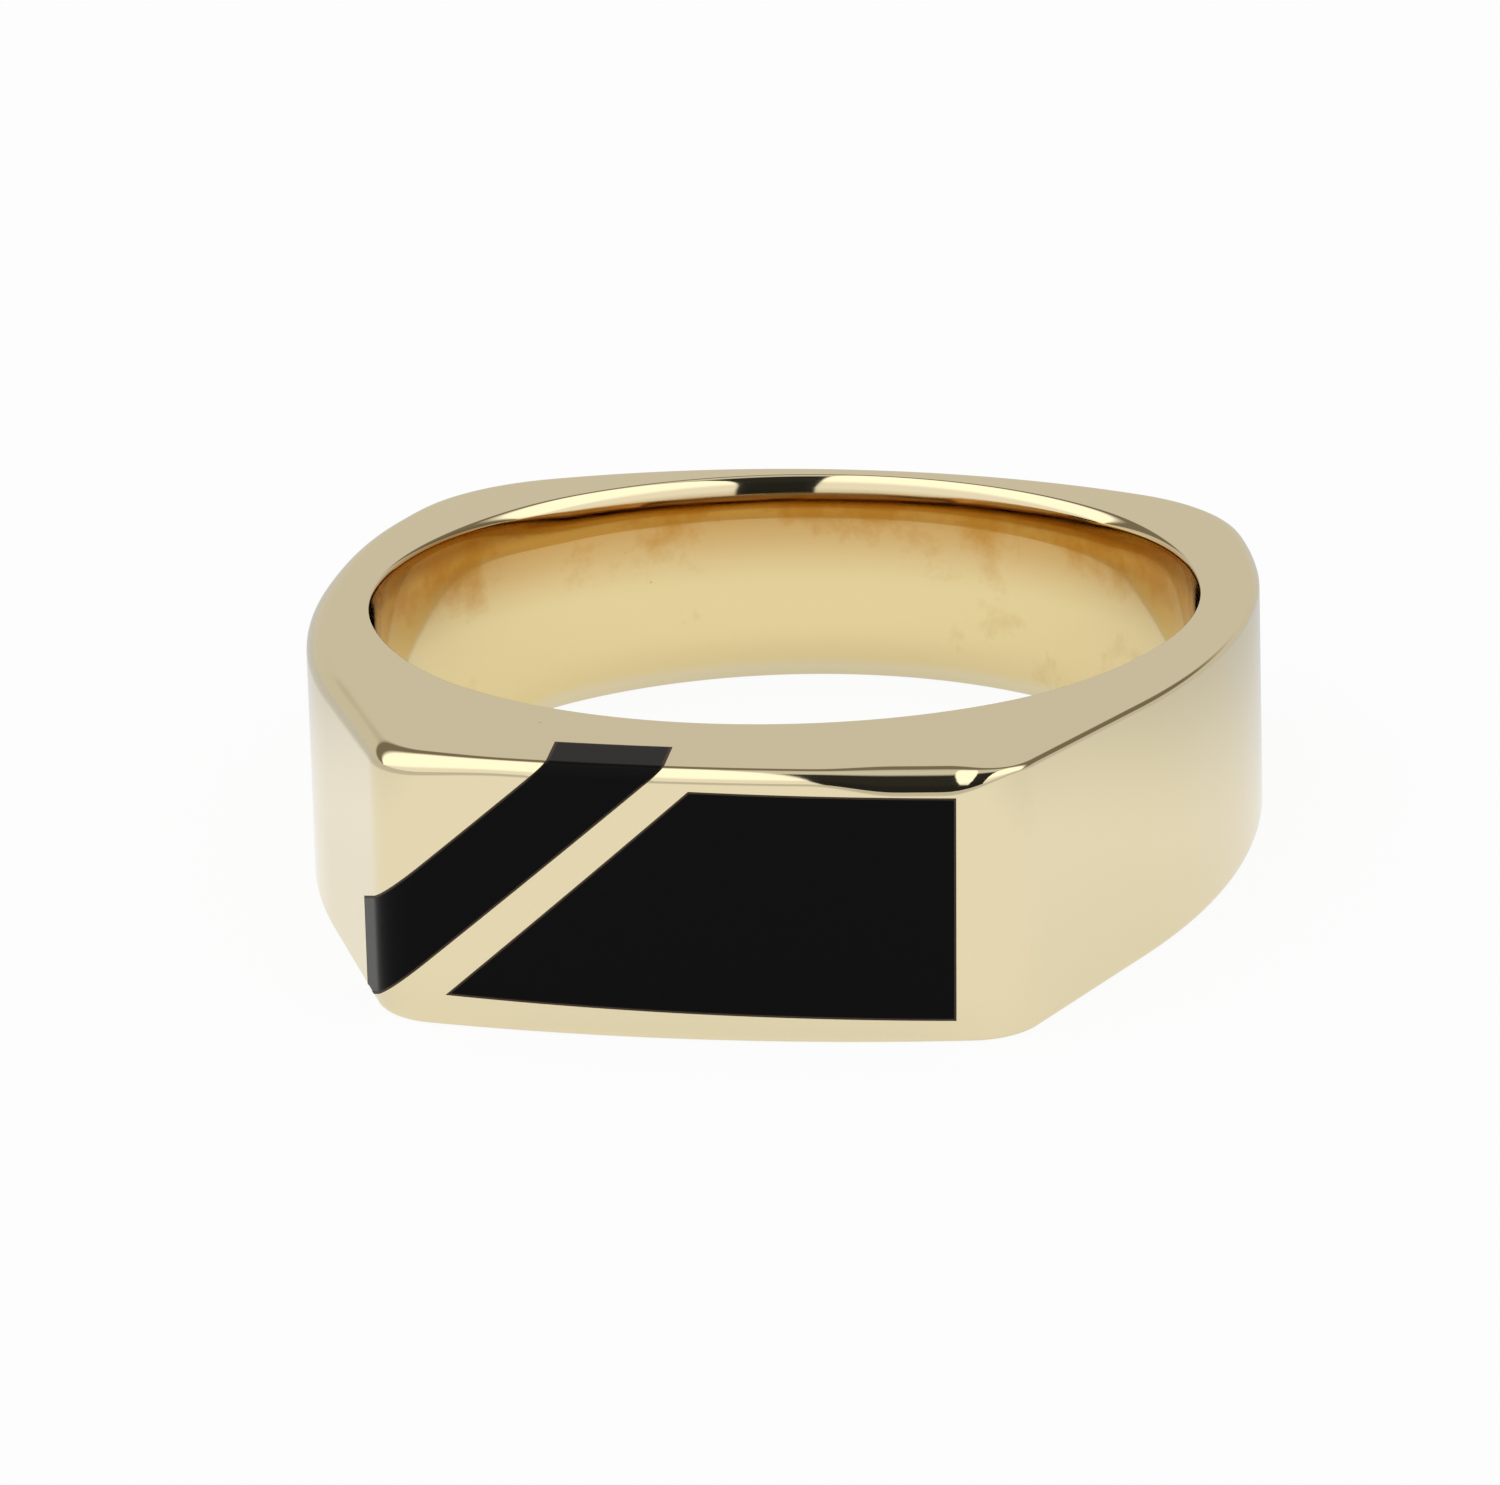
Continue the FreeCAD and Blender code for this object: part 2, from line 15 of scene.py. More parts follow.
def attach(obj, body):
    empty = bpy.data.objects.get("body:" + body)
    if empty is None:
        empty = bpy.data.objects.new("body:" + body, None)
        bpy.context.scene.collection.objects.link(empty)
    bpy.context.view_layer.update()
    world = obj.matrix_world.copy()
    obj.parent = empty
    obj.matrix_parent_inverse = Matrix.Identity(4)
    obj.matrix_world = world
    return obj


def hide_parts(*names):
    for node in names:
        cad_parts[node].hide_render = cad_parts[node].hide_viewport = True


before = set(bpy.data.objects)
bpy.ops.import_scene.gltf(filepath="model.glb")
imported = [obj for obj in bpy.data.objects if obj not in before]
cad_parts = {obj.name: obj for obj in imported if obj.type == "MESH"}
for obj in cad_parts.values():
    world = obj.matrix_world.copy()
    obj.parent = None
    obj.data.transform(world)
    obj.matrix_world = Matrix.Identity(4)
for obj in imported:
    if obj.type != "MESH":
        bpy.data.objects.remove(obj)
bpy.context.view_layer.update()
MM = 0.001


# %% [markdown]
# ## The outline in plan
#
# Seen along the finger hole, the ring is a rounded box: a gently bowed table, two small soft corners, two
# straight shoulders, two long bowed sides, two rounded hips and a bowed back. All of these are arcs and
# lines that run smoothly into each other, so the outline can be worked out from a few radii. It could be
# drawn by eye with a Bezier curve, but polished gold shows every kink, so the arcs are exact here.

# %% Arcs that touch
BORE_RADIUS = 9.9
TABLE_RADIUS, TABLE_REACH = 43.0, 13.78
SHOULDER_LEAN = math.radians(23.3)
CORNER_RADIUS = 1.8
SIDE_RADIUS, SIDE_REACH = 19.6, 11.33
HIP_RADIUS = 5.0
BACK_RADIUS, BACK_REACH = 19.2, 10.9


def circles_meet(first, first_radius, second, second_radius):
    """The two places, in millimetres, where two circles cross."""
    between = second - first
    along = (first_radius**2 - second_radius**2 + between.length_squared) / (2 * between.length)
    off = math.sqrt(first_radius**2 - along**2)
    unit = between.normalized()
    square = Vector((-unit.y, unit.x))
    return first + unit * along + square * off, first + unit * along - square * off


table_centre = Vector((0, TABLE_RADIUS - TABLE_REACH))
side_centre = Vector((SIDE_REACH - SIDE_RADIUS, 0))
back_centre = Vector((0, BACK_REACH - BACK_RADIUS))
shoulder_normal = Vector((math.cos(SHOULDER_LEAN), -math.sin(SHOULDER_LEAN)))
shoulder_way = Vector((math.sin(SHOULDER_LEAN), math.cos(SHOULDER_LEAN)))

inner_line = side_centre + shoulder_normal * (SIDE_RADIUS - CORNER_RADIUS)
across = (inner_line - table_centre).dot(shoulder_normal)
corner_arm = TABLE_RADIUS - CORNER_RADIUS
corner_centre = table_centre + shoulder_normal * across - shoulder_way * math.sqrt(corner_arm**2 - across**2)
hip_centre = max(
    circles_meet(side_centre, SIDE_RADIUS - HIP_RADIUS, back_centre, BACK_RADIUS - HIP_RADIUS),
    key=lambda point: point.y,
)
print("corner centre, mm:", [round(v, 3) for v in corner_centre])
print("hip centre, mm:", [round(v, 3) for v in hip_centre])

# %% [markdown]
# The right half of the outline is walked from the middle of the table to the middle of the back, and each
# point keeps the direction that is square to the outline there. The left half is its mirror image.

# %% Walk along the outline
PITCH = 0.2
FINEST_TURN = math.radians(3.0)


def walk_arc(centre, radius, start, end):
    """Points and outward directions on an arc, from one direction to another, the start left out."""
    turn = end - start
    steps = max(4, math.ceil(radius * abs(turn) / PITCH), math.ceil(abs(turn) / FINEST_TURN))
    for step in range(1, steps + 1):
        angle = start + turn * step / steps
        outward = Vector((math.cos(angle), math.sin(angle)))
        yield centre + outward * radius, outward


def direction(vector):
    return math.atan2(vector.y, vector.x)


shoulder_turn = direction(shoulder_normal)
table_end = direction(corner_centre - table_centre)
side_end = direction(hip_centre - side_centre)
hip_end = direction(hip_centre - back_centre)

half = list(walk_arc(table_centre, TABLE_RADIUS, -math.pi / 2, table_end))
half += walk_arc(corner_centre, CORNER_RADIUS, table_end, shoulder_turn)
shoulder_start = half[-1][0]
shoulder_end = side_centre + shoulder_normal * SIDE_RADIUS
shoulder_steps = math.ceil((shoulder_end - shoulder_start).length / PITCH)
half += [
    (shoulder_start.lerp(shoulder_end, step / shoulder_steps), shoulder_normal)
    for step in range(1, shoulder_steps + 1)
]
half += walk_arc(side_centre, SIDE_RADIUS, shoulder_turn, side_end)
half += walk_arc(hip_centre, HIP_RADIUS, side_end, hip_end)
half += walk_arc(back_centre, BACK_RADIUS, hip_end, math.pi / 2)

table_middle = (Vector((0, -TABLE_REACH)), Vector((0, -1)))
mirrored = [(Vector((-point.x, point.y)), Vector((-way.x, way.y))) for point, way in reversed(half[:-1])]
outline = [table_middle] + half + mirrored
print("stations round the ring:", len(outline))

# %% [markdown]
# ## The softened edges
#
# A polishing wheel takes more off an edge that stands out, and never quite the same all the way round. The
# table's upper edge is softest near the table's two ends, where the wheel comes round them. From there the
# left flank's edge stays round, the right flank's edge is crisp, and both come to one softness at the back.
# The rim of the finger hole is rounder front and back than at the sides. A Bevel modifier gives a whole
# edge one width, so each station of the outline carries two radii of its own instead.

# %% Radii of the upper edge and of the rim at each station
# Each pair is a place across the ring and the upper edge's radius there, both in millimetres.
TABLE_EDGE = [(-7.4, 0.5), (-4.4, 0.34), (2.8, 0.32), (4.8, 0.56), (5.9, 0.56), (7.6, 0.12)]
EDGE_BACK = 0.3


def smooth_step(value, low, high):
    """0 below low, 1 above high, and a smooth rise between."""
    share = min(1.0, max(0.0, (value - low) / (high - low)))
    return share * share * (3 - 2 * share)


def blend(first, second, share):
    return first + (second - first) * share


def upper_edge(point):
    """Radius of the upper outer edge, in millimetres, at a point of the outline."""
    radius = TABLE_EDGE[0][1]
    for (start, _), (end, level) in zip(TABLE_EDGE, TABLE_EDGE[1:]):
        radius = blend(radius, level, smooth_step(point.x, start, end))
    return blend(radius, EDGE_BACK, smooth_step(point.y, 0.0, hip_centre.y))


RIM_BACK, RIM_SIDE = 0.3, 0.13
SIDEWAYS_FROM, SIDEWAYS_TO = 0.65, 0.95


def rim_round(point):
    """Radius of the hole's rim, in millimetres: a file rounds it less at both sides than front and back."""
    sideways = abs(point.x) / point.length
    return blend(RIM_BACK, RIM_SIDE, smooth_step(sideways, SIDEWAYS_FROM, SIDEWAYS_TO))


edge_radii = [upper_edge(point) for point, way in outline]
rim_radii = [rim_round(point) for point, way in outline]
print("upper edge's radius, mm:", round(min(edge_radii), 3), "to", round(max(edge_radii), 3))
print("rim's radius, mm:", round(min(rim_radii), 3), "to", round(max(rim_radii), 3))

# %% [markdown]
# ## The section
#
# Cut across at any station, the ring shows the same kind of section: up the wall of the finger hole, round
# its rounded rim, out over the flat side face, round the outer edge, down the outer wall and back
# underneath. Only its width, its height and its roundings change on the way round. So one list of section
# points is enough, where each point says how far across it lies, from hole to outline, how high, and what
# share of each rounding moves it. The hole's wall opens a little towards both rims, as wear makes it. A flat
# face has rows close beside its roundings, because smooth shading would otherwise bend its reflections.

# %% Points of the section
RIM_ROWS, EDGE_ROWS = 8, 8
HOLE_ROWS = 28
FACE_ROWS = (0.01, 0.35, 0.65, 0.99)
WALL_LEVELS = (0.99, 0.75, 0.5, 0.25, 0.0, -0.25, -0.5, -0.75, -0.99)
FLARE_START, FLARE_SHARE = 0.6, 0.33
FLARE_TURN = math.radians(23.0)


def flare(level):
    """Share of the rim's rounding by which the hole's wall has opened at one level, by wear and polishing."""
    return FLARE_SHARE * max(0.0, (abs(level) - FLARE_START) / (1 - FLARE_START)) ** 2


def rim_point(row):
    """(share outwards, share downwards) on the rim's rounding, from the hole's wall to the side face."""
    turn = FLARE_TURN + (math.pi / 2 - FLARE_TURN) * row / RIM_ROWS
    out = FLARE_SHARE + (1 - FLARE_SHARE) * (1 - math.cos(turn) / math.cos(FLARE_TURN))
    down = (1 - math.sin(turn)) / (1 - math.sin(FLARE_TURN))
    return out, down


def section_rows():
    """(across, rim share, edge share, level, rim drop, edge drop) for each point, round the section once."""
    rows = []
    for row in range(HOLE_ROWS + 1):
        level = 2 * row / HOLE_ROWS - 1
        rows.append((0, flare(level), 0, level, level, 0))
    for row in range(1, RIM_ROWS + 1):
        out, down = rim_point(row)
        rows.append((0, out, 0, 1, down, 0))
    for share in FACE_ROWS:
        rows.append((share, 1, 1, 1, 0, 0))
    for row in range(EDGE_ROWS + 1):
        turn = math.pi / 2 * (1 - row / EDGE_ROWS)
        rows.append((1, 0, 1 - math.cos(turn), 1, 0, 1 - math.sin(turn)))
    for level in WALL_LEVELS:
        rows.append((1, 0, 0, level, 0, level))
    for row in range(EDGE_ROWS + 1):
        turn = math.pi / 2 * row / EDGE_ROWS
        rows.append((1, 0, 1 - math.cos(turn), -1, 0, math.sin(turn) - 1))
    for share in reversed(FACE_ROWS):
        rows.append((share, 1, 1, -1, 0, 0))
    for row in range(RIM_ROWS, 0, -1):
        out, down = rim_point(row)
        rows.append((0, out, 0, -1, -down, 0))
    return rows


section = section_rows()
print("points round the section:", len(section))

# %% [markdown]
# ## A tree that sweeps the section round the outline
#
# Geometry Nodes can follow this rule directly. The tree lays out a grid with one column for each station
# and one row for each section point, looks up both lists by index, works out the place of each point and
# closes the seam. The outline and the section reach the tree as two small meshes that carry the numbers as
# named attributes.

# %% Two template meshes
def template(name, points, attributes):
    """A mesh of loose points with vector or number attributes, in metres."""
    mesh = bpy.data.meshes.new(name)
    mesh.from_pydata([(x * MM, y * MM, 0) for x, y in points], [], [])
    for key, values in attributes.items():
        kind, field = ("FLOAT", "value") if isinstance(values[0], float) else ("FLOAT_VECTOR", "vector")
        layer = mesh.attributes.new(key, kind, "POINT")
        for item, value in zip(layer.data, values):
            setattr(item, field, value)
    piece = bpy.data.objects.new(name, mesh)
    bpy.context.scene.collection.objects.link(piece)
    return piece


outline_piece = template(
    "outline stations",
    [point for point, way in outline],
    {
        "outward": [(way.x, way.y, 0) for point, way in outline],
        "edge": [radius * MM for radius in edge_radii],
        "rim": [radius * MM for radius in rim_radii],
    },
)
section_piece = template(
    "section points",
    [(0, 0)] * len(section),
    {"share": [row[:3] for row in section], "rise": [row[3:] for row in section]},
)
print("template points:", len(outline_piece.data.vertices), "and", len(section_piece.data.vertices))


# %% One function that adds a node
def add_node(tree, kind, inputs=(), **settings):
    """A new node with its settings, and with values or other nodes' outputs in its inputs."""
    node = tree.nodes.new(kind)
    for key, value in settings.items():
        setattr(node, key, value)
    for key, value in dict(inputs).items():
        if isinstance(value, bpy.types.NodeSocket):
            tree.links.new(value, node.inputs[key])
        else:
            node.inputs[key].default_value = value
    return node


# %% Inputs of the sweep tree
sweep = bpy.data.node_groups.new("sweep a section round an outline", "GeometryNodeTree")
for name, kind in (
    ("Outline", "NodeSocketGeometry"),
    ("Section", "NodeSocketObject"),
    ("Hole radius", "NodeSocketFloat"),
    ("Half height", "NodeSocketFloat"),
    ("Taper", "NodeSocketFloat"),
    ("Lower edge", "NodeSocketFloat"),
    ("Finish", "NodeSocketMaterial"),
):
    sweep.interface.new_socket(name, in_out="INPUT", socket_type=kind)
sweep.interface.new_socket("Ring form", in_out="OUTPUT", socket_type="NodeSocketGeometry")
given = add_node(sweep, "NodeGroupInput").outputs
print("inputs:", ", ".join(socket.name for socket in given if socket.name))

# %% Grid of stations and rows
section_mesh = add_node(sweep, "GeometryNodeObjectInfo", {"Object": given["Section"]}).outputs["Geometry"]
stations = add_node(sweep, "GeometryNodeAttributeDomainSize", {0: given["Outline"]}).outputs["Point Count"]
rows = add_node(sweep, "GeometryNodeAttributeDomainSize", {0: section_mesh}).outputs["Point Count"]
columns_closed = add_node(sweep, "ShaderNodeMath", {0: stations, 1: 1.0}, operation="ADD").outputs[0]
rows_closed = add_node(sweep, "ShaderNodeMath", {0: rows, 1: 1.0}, operation="ADD").outputs[0]
grid = add_node(
    sweep, "GeometryNodeMeshGrid", {"Vertices X": columns_closed, "Vertices Y": rows_closed}
).outputs["Mesh"]
index = add_node(sweep, "GeometryNodeInputIndex").outputs[0]
column = add_node(sweep, "ShaderNodeMath", {0: index, 1: rows_closed}, operation="DIVIDE").outputs[0]
column_whole = add_node(sweep, "ShaderNodeMath", {0: column}, operation="FLOOR").outputs[0]
station = add_node(sweep, "ShaderNodeMath", {0: column_whole, 1: stations}, operation="MODULO").outputs[0]
row_open = add_node(sweep, "ShaderNodeMath", {0: index, 1: rows_closed}, operation="MODULO").outputs[0]
row = add_node(sweep, "ShaderNodeMath", {0: row_open, 1: rows}, operation="MODULO").outputs[0]


# %% Look up both lists
def look_up(geometry, attribute, kind, place):
    """The value of a named attribute at one index of a template mesh."""
    if attribute == "position":
        value = add_node(sweep, "GeometryNodeInputPosition").outputs[0]
    else:
        value = add_node(
            sweep, "GeometryNodeInputNamedAttribute", {"Name": attribute}, data_type=kind
        ).outputs[0]
    return add_node(
        sweep,
        "GeometryNodeSampleIndex",
        {"Geometry": geometry, "Value": value, "Index": place},
        data_type=kind,
    ).outputs[0]


point = look_up(given["Outline"], "position", "FLOAT_VECTOR", station)
outward = look_up(given["Outline"], "outward", "FLOAT_VECTOR", station)
upper_radius = look_up(given["Outline"], "edge", "FLOAT", station)
rim_radius = look_up(given["Outline"], "rim", "FLOAT", station)
shares = look_up(section_mesh, "share", "FLOAT_VECTOR", row)
share = add_node(sweep, "ShaderNodeSeparateXYZ", {0: shares}).outputs
rises = look_up(section_mesh, "rise", "FLOAT_VECTOR", row)
rise = add_node(sweep, "ShaderNodeSeparateXYZ", {0: rises}).outputs

# %% Place of each point in plan
on_top = add_node(sweep, "ShaderNodeMath", {0: rise[0], 1: 0.0}, operation="GREATER_THAN").outputs[0]
edge_radius = add_node(
    sweep, "ShaderNodeMix", {0: on_top, 2: given["Lower edge"], 3: upper_radius}, data_type="FLOAT"
).outputs[0]
hole_reach = add_node(
    sweep, "ShaderNodeMath", {0: share[1], 1: rim_radius, 2: given["Hole radius"]}, operation="MULTIPLY_ADD"
).outputs[0]
away = add_node(sweep, "ShaderNodeVectorMath", {0: point}, operation="NORMALIZE").outputs[0]
hole_point = add_node(
    sweep, "ShaderNodeVectorMath", {0: away, "Scale": hole_reach}, operation="SCALE"
).outputs[0]
edge_inset = add_node(sweep, "ShaderNodeMath", {0: share[2], 1: edge_radius}, operation="MULTIPLY").outputs[0]
inward = add_node(
    sweep, "ShaderNodeVectorMath", {0: outward, "Scale": edge_inset}, operation="SCALE"
).outputs[0]
edge_point = add_node(sweep, "ShaderNodeVectorMath", {0: point, 1: inward}, operation="SUBTRACT").outputs[0]
plan = add_node(
    sweep, "ShaderNodeMix", {0: share[0], 4: hole_point, 5: edge_point}, data_type="VECTOR"
).outputs[1]

# %% Height of each point, and the finished form
SEAM_REACH = 1e-7
plan_parts = add_node(sweep, "ShaderNodeSeparateXYZ", {0: plan}).outputs
slope = add_node(
    sweep, "ShaderNodeMath", {0: plan_parts[1], 1: given["Taper"]}, operation="MULTIPLY"
).outputs[0]
face_height = add_node(
    sweep, "ShaderNodeMath", {0: given["Half height"], 1: slope}, operation="SUBTRACT"
).outputs[0]
level = add_node(sweep, "ShaderNodeMath", {0: rise[0], 1: face_height}, operation="MULTIPLY").outputs[0]
rim_drop = add_node(sweep, "ShaderNodeMath", {0: rise[1], 1: rim_radius}, operation="MULTIPLY").outputs[0]
edge_drop = add_node(sweep, "ShaderNodeMath", {0: rise[2], 1: edge_radius}, operation="MULTIPLY").outputs[0]
below_rim = add_node(sweep, "ShaderNodeMath", {0: level, 1: rim_drop}, operation="SUBTRACT").outputs[0]
height = add_node(sweep, "ShaderNodeMath", {0: below_rim, 1: edge_drop}, operation="SUBTRACT").outputs[0]
place = add_node(sweep, "ShaderNodeCombineXYZ", {0: plan_parts[0], 1: plan_parts[1], 2: height}).outputs[0]
shaped = add_node(sweep, "GeometryNodeSetPosition", {"Geometry": grid, "Position": place}).outputs[0]
closed = add_node(
    sweep, "GeometryNodeMergeByDistance", {"Geometry": shaped, "Distance": SEAM_REACH}
).outputs[0]
smooth = add_node(sweep, "GeometryNodeSetShadeSmooth", {0: closed, "Shade Smooth": True}).outputs[0]
real = add_node(sweep, "GeometryNodeRealizeInstances", {0: smooth}).outputs[0]
finished = add_node(
    sweep, "GeometryNodeSetMaterial", {"Geometry": real, "Material": given["Finish"]}
).outputs[0]
add_node(sweep, "NodeGroupOutput", {0: finished})
print("nodes in the sweep tree:", len(sweep.nodes))

# %% [markdown]
# ## Make the blank
#
# The tree runs on the outline mesh. Its inputs are set before it is first evaluated, and the result is kept
# as a plain mesh. A closed mesh with outward faces has a positive volume, which is quick to measure. The
# gold's material is only named here, and gets its nodes further down.

# %% Run the tree
HALF_HEIGHT, LOWER_EDGE = 2.915, 0.15
SIDE_TAPER = math.radians(1.684)
GOLD_NAME = "polished yellow gold"
taper = math.tan(SIDE_TAPER)
sizes = {
    "Section": section_piece,
    "Hole radius": BORE_RADIUS * MM,
    "Half height": HALF_HEIGHT * MM,
    "Taper": taper,
    "Lower edge": LOWER_EDGE * MM,
    "Finish": bpy.data.materials.new(GOLD_NAME),
}
modifier = outline_piece.modifiers.new("sweep", "NODES")
modifier.node_group = sweep
for item in sweep.interface.items_tree:
    if item.in_out == "INPUT" and item.name in sizes:
        modifier[item.identifier] = sizes[item.name]


def as_plain_mesh(piece, name):
    """The evaluated piece as a new mesh of its own."""
    bpy.context.view_layer.update()
    evaluated = piece.evaluated_get(bpy.context.evaluated_depsgraph_get())
    mesh = bpy.data.meshes.new_from_object(evaluated)
    mesh.name = name
    return mesh


def volume(mesh):
    """Volume inside a closed mesh, in cubic millimetres."""
    shape = bmesh.new()
    shape.from_mesh(mesh)
    amount = shape.calc_volume(signed=True) / MM**3
    shape.free()
    return amount


blank = as_plain_mesh(outline_piece, "ring blank")
if volume(blank) < 0:
    blank.flip_normals()
print("blank:", len(blank.vertices), "points,", round(volume(blank), 1), "mm3")
bpy.data.objects.remove(outline_piece)
bpy.data.objects.remove(section_piece)

# %% [markdown]
# ## The seats and the stones
#
# On the real ring the seats are sawn and filed into the table, the stones are ground to fit, cemented in,
# and then gold and stone are lapped and polished together, so that they share one surface. The same is done
# here: one cutting block for the strip and one for the field. The blank minus the blocks is the gold, and
# the blank's overlap with slightly smaller blocks gives the stones, which are flush by their making. Stones
# drawn by themselves would need their faces laid exactly into the gold's, and any slip would show in the
# highlights.

# %% A cutting block with a bowed back
BLOCK_STEPS = 24
FRONT = -16.0


def cutting_block(name, lower, upper, back_radius):
    """A closed block between a lower and an upper line on the table, each from left to right, in mm.

    It reaches from in front of the table to a back that is bowed as the table is.
    """
    mesh = bpy.data.meshes.new(name)
    points, faces = [], []
    for step in range(BLOCK_STEPS + 1):
        for line in (lower, upper):
            x, z = line[0].lerp(line[1], step / BLOCK_STEPS)
            back = table_centre.y - math.sqrt(back_radius**2 - x * x)
            points += [(x * MM, FRONT * MM, z * MM), (x * MM, back * MM, z * MM)]
    for step in range(BLOCK_STEPS):
        here, there = 4 * step, 4 * step + 4
        for a, b in ((0, 1), (1, 3), (3, 2), (2, 0)):
            faces.append((here + a, here + b, there + b, there + a))
    last = 4 * BLOCK_STEPS
    faces += [(0, 2, 3, 1), (last, last + 1, last + 3, last + 2)]
    mesh.from_pydata(points, [], faces)
    shape = bmesh.new()
    shape.from_mesh(mesh)
    bmesh.ops.recalc_face_normals(shape, faces=shape.faces)
    shape.to_mesh(mesh)
    shape.free()
    block = bpy.data.objects.new(name, mesh)
    bpy.context.scene.collection.objects.link(block)
    return block


def line_on_table(through, angle, offset=0.0):
    """A point and a direction, in x and z; a positive offset moves the line to its own left."""
    way = Vector((math.cos(angle), math.sin(angle)))
    return Vector(through) + Vector((-way.y, way.x)) * offset, way


def crossing(first, second):
    """The point where two lines on the table cross."""
    (p, u), (q, w) = first, second
    span = q - p
    run = (span.x * w.y - span.y * w.x) / (u.x * w.y - u.y * w.x)
    return p + u * run


# %% Blocks for the strip and the field
CEMENT_GAP = 0.05
STRIP_ANGLE, STRIP_CENTRE = math.radians(41.3), -5.78
STRIP_HALF_WIDTH, STRIP_DEPTH, STRIP_REACH = 0.87, 1.7, 7.5
FIELD_ANGLE, FIELD_SLANT, FIELD_DEPTH = math.radians(42.0), -3.072, 1.2
FIELD_RIGHT, FIELD_TOP, FIELD_BOTTOM = 6.04, 2.76, -2.6
FIELD_TILT = math.radians(-1.1)


def strip_block(name, gap):
    """The diagonal strip's block, wider and deeper by a gap, which runs out past both ends."""
    sides = []
    for offset in (-STRIP_HALF_WIDTH - gap, STRIP_HALF_WIDTH + gap):
        middle, way = line_on_table((STRIP_CENTRE, 0), STRIP_ANGLE, offset)
        sides.append((middle - way * STRIP_REACH, middle + way * STRIP_REACH))
    return cutting_block(name, *sides, TABLE_RADIUS - STRIP_DEPTH - gap)


def field_block(name, gap):
    """The large field's block, with a slanting left side, wider and deeper by a gap all round."""
    slant = line_on_table((FIELD_SLANT, 0), FIELD_ANGLE, gap)
    right = line_on_table((FIELD_RIGHT, 0), math.pi / 2 + FIELD_TILT, -gap)
    top = line_on_table((0, FIELD_TOP), FIELD_TILT, gap)
    bottom = line_on_table((0, FIELD_BOTTOM), FIELD_TILT, -gap)
    lower = (crossing(slant, bottom), crossing(right, bottom))
    upper = (crossing(slant, top), crossing(right, top))
    return cutting_block(name, lower, upper, TABLE_RADIUS - FIELD_DEPTH - gap)


# %% Cut the gold and shape the stones
CREASE = math.radians(30)


def cut_piece(name, *steps):
    """The blank after one exact Boolean for each (operation, block)."""
    piece = bpy.data.objects.new(name, blank.copy())
    bpy.context.scene.collection.objects.link(piece)
    for operation, block in steps:
        boolean = piece.modifiers.new(operation, "BOOLEAN")
        boolean.operation, boolean.object, boolean.solver = operation, block, "EXACT"
    mesh = as_plain_mesh(piece, name)
    piece.modifiers.clear()
    piece.data = mesh
    mesh.set_sharp_from_angle(angle=CREASE)
    print(name + ":", len(mesh.vertices), "points,", round(volume(mesh), 2), "mm3")
    return piece


blocks = [
    strip_block("strip seat block", CEMENT_GAP),
    field_block("field seat block", CEMENT_GAP),
    strip_block("strip block", 0.0),
    field_block("field block", 0.0),
]
ring = cut_piece("gold_ring_body", ("DIFFERENCE", blocks[0]), ("DIFFERENCE", blocks[1]))
strip = cut_piece("onyx_diagonal_strip", ("INTERSECT", blocks[2]))
field = cut_piece("onyx_large_field", ("INTERSECT", blocks[3]))
for block in blocks:
    bpy.data.objects.remove(block)

# %% [markdown]
# ## Colours
#
# Colours are written as sRGB hex values, as a colour picker shows them, and turned to the linear values
# that the shaders work with.

# %% Hex to linear
def colour(code):
    """Linear RGBA of an sRGB hex value."""
    levels = [int(code[place : place + 2], 16) / 255 for place in (1, 3, 5)]
    return (*[v / 12.92 if v <= 0.04045 else ((v + 0.055) / 1.055) ** 2.4 for v in levels], 1.0)


def new_material(name):
    """A node material of this name with an empty tree, and the tree."""
    material = bpy.data.materials.get(name) or bpy.data.materials.new(name)
    material.use_nodes = True
    material.node_tree.nodes.clear()
    return material, material.node_tree


print("#808080 as linear:", [round(level, 3) for level in colour("#808080")[:3]])

# %% [markdown]
# ## Polished yellow gold
#
# Fourteen carat gold is a pale warm yellow. It is bare metal, so all of its colour is in the reflection and
# its metallic value is 1. Hand polishing leaves a mirror that is never quite flat: slow waves a few
# millimetres long bend the reflections, and there are a few tiny pits. Both could be modelled, but they are
# far lower than a face of the mesh is wide, so bumps that only tilt the shading do it. Their sizes are real
# ones in millimetres.

# %% Waves and pits of hand-polished gold
WAVE_LENGTH, WAVE_HEIGHT = 3.5 * MM, 0.012 * MM
PIT_PITCH, PIT_RADIUS, PIT_DEPTH, PIT_STRENGTH = 1.6 * MM, 0.048 * MM, 0.02 * MM, 0.6
gold, tree = new_material(GOLD_NAME)
place = add_node(tree, "ShaderNodeTexCoord").outputs["Object"]
waves = add_node(
    tree, "ShaderNodeTexNoise", {"Vector": place, "Scale": 1 / WAVE_LENGTH, "Detail": 1.0, "Roughness": 0.4}
).outputs[0]
wave_bump = add_node(
    tree, "ShaderNodeBump", {"Height": waves, "Distance": WAVE_HEIGHT, "Strength": 1.0}
).outputs[0]
pits = add_node(
    tree,
    "ShaderNodeTexVoronoi",
    {"Vector": place, "Scale": 1 / PIT_PITCH},
    feature="F1",
    distance="EUCLIDEAN",
).outputs["Distance"]
pit_height = add_node(
    tree,
    "ShaderNodeMapRange",
    {"Value": pits, "From Min": 0.0, "From Max": PIT_RADIUS / PIT_PITCH},
    interpolation_type="SMOOTHSTEP",
).outputs[0]
pit_bump = add_node(
    tree,
    "ShaderNodeBump",
    {"Height": pit_height, "Distance": PIT_DEPTH, "Strength": PIT_STRENGTH, "Normal": wave_bump},
).outputs[0]
print("nodes of the polish:", len(tree.nodes))

